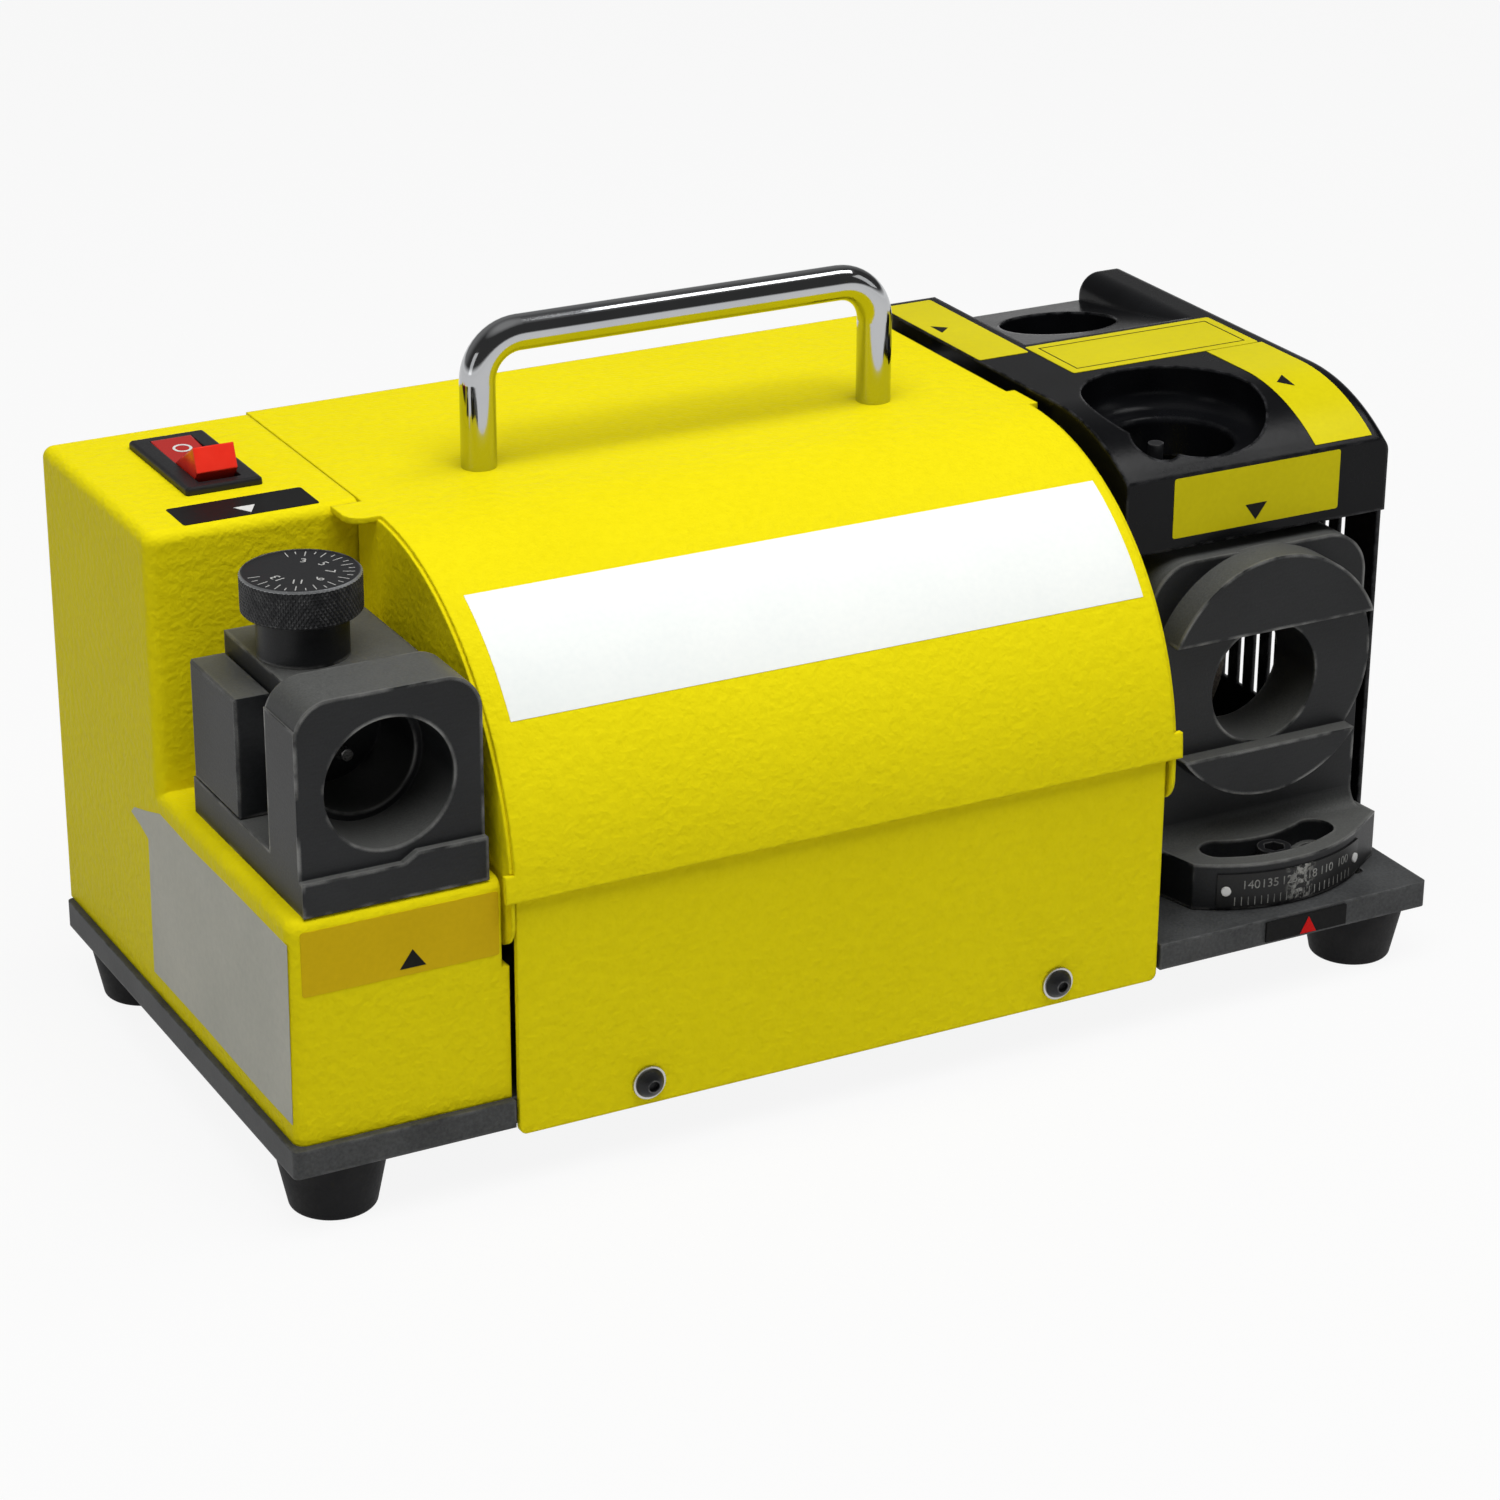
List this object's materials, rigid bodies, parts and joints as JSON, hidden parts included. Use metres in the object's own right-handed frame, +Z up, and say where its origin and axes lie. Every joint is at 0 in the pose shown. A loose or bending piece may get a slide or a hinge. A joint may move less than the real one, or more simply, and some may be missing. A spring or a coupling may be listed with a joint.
{
  "type": "drill bit sharpener",
  "caption": "Bench drill bit sharpener: curved hinged hood with chrome handle, drill-setting gauge with dial, grinding head with ports and a swivelling chuck seat on a footed base plate.",
  "frame": {"origin": "middle of the bounding box at the level the feet stand on", "axes": "+X to the right along the base plate from the gauge to the grinding head, +Y from the front to the back, +Z up"},
  "size_m": [0.3242, 0.1726, 0.1833],
  "materials": {
    "yellow_paint": "textured semi-gloss yellow powder coat",
    "black_paint": "satin-gloss black paint",
    "grey_paint": "matte dark grey paint",
    "zinc_steel": "zinc-plated sheet",
    "foot_rubber": "black rubber",
    "blackened_steel": "blackened fine-milled steel",
    "bright_steel": "bright steel",
    "black_screw": "black oxide screw",
    "chrome_bar": "polished chrome",
    "black_plastic": "black moulded plastic",
    "red_plastic": "red translucent-looking plastic",
    "cast_aluminium": "as cast",
    "magnet_ceramic": "dark sintered",
    "copper": "copper",
    "grit": "bonded grit",
    "black_plate": "printed black strip"
  },
  "bodies": {
    "chassis": {"base_plate": "grey_paint", "foot_front_left": "foot_rubber", "foot_front_right": "foot_rubber", "foot_rear_left": "foot_rubber", "foot_rear_right": "foot_rubber", "foot_screws": "bright_steel", "left_housing": "yellow_paint", "cord_gland": "black_plastic", "terminal_block": "black_plastic", "gauge_block": "blackened_steel", "gauge_pins": "bright_steel", "gauge_screws": "bright_steel", "dial_bush": "blackened_steel", "switch_bezel": "black_plastic", "hinge_pin_left": "bright_steel", "hinge_pin_right": "bright_steel", "lower_panel": "yellow_paint", "panel_washers": "bright_steel", "panel_screws": "black_screw", "rear_panel": "yellow_paint", "storage_tray": "zinc_steel", "motor_can": "bright_steel", "motor_magnets": "magnet_ceramic", "motor_bell_left": "cast_aluminium", "motor_bell_right": "cast_aluminium", "bearing_left": "bright_steel", "bearing_right": "bright_steel", "motor_cradle": "zinc_steel", "motor_straps": "zinc_steel", "brush_holders": "black_plastic", "carbon_brushes": "magnet_ceramic", "head_casting": "black_paint", "port_pins": "bright_steel", "end_cover": "black_paint", "cover_screws": "black_screw", "swivel_pin": "bright_steel", "pointer_plate": "black_plate"},
    "hood": {"hood_skin": "yellow_paint", "hood_flank_left": "yellow_paint", "hood_flank_right": "yellow_paint", "hood_lug_left": "zinc_steel", "hood_lug_right": "zinc_steel", "handle": "chrome_bar", "handle_screws": "bright_steel"},
    "rocker": {"switch_rocker": "red_plastic"},
    "dial": {"gauge_dial": "blackened_steel"},
    "jaw": {"gauge_jaw": "blackened_steel"},
    "seat": {"seat_casting": "blackened_steel", "scale_strip": "black_plate", "scale_rivets": "bright_steel"},
    "clamp": {"clamp_screw": "bright_steel"},
    "rotor": {"motor_shaft": "bright_steel", "armature_core": "bright_steel", "armature_coils": "copper", "commutator": "copper", "cooling_fan": "black_plastic", "wheel_hub": "bright_steel", "grinding_wheel": "grit", "wheel_nut": "bright_steel"}
  },
  "joints": [
    {"name": "hood_hinge", "type": "hinge", "parent": "chassis", "child": "hood", "pos_m": [-0.01535, 0.06762, 0.1406], "axis": [-1, 0, 0], "range_deg": [0, 80]},
    {"name": "rocker_tilt", "type": "hinge", "parent": "chassis", "child": "rocker", "pos_m": [-0.13185, 0.04142, 0.1449], "axis": [1, 0, 0], "range_deg": [0, 28]},
    {"name": "dial_turn", "type": "hinge", "parent": "chassis", "child": "dial", "pos_m": [-0.13565, -0.03488, 0.1359], "axis": [0, 0, 1], "range_deg": [0, 225]},
    {"name": "jaw_slide", "type": "slide", "parent": "chassis", "child": "jaw", "axis": [-1, 0, 0], "range_m": [0, 0.005]},
    {"name": "seat_swivel", "type": "hinge", "parent": "chassis", "child": "seat", "pos_m": [0.11935, -0.03338, 0.023], "axis": [0, 0, 1], "range_deg": [-14, 11]},
    {"name": "clamp_turn", "type": "hinge", "parent": "chassis", "child": "clamp", "pos_m": [0.11935, -0.06788, 0.023], "axis": [0, 0, 1], "range_deg": [0, 180]},
    {"name": "rotor_spin", "type": "hinge", "parent": "chassis", "child": "rotor", "pos_m": [-0.06715, 0.00462, 0.078], "axis": [1, 0, 0], "continuous": true}
  ],
  "couplings": [
    {"joint": "jaw_slide", "follows": "dial_turn", "m_per_rad": 0.0012704}
  ]
}
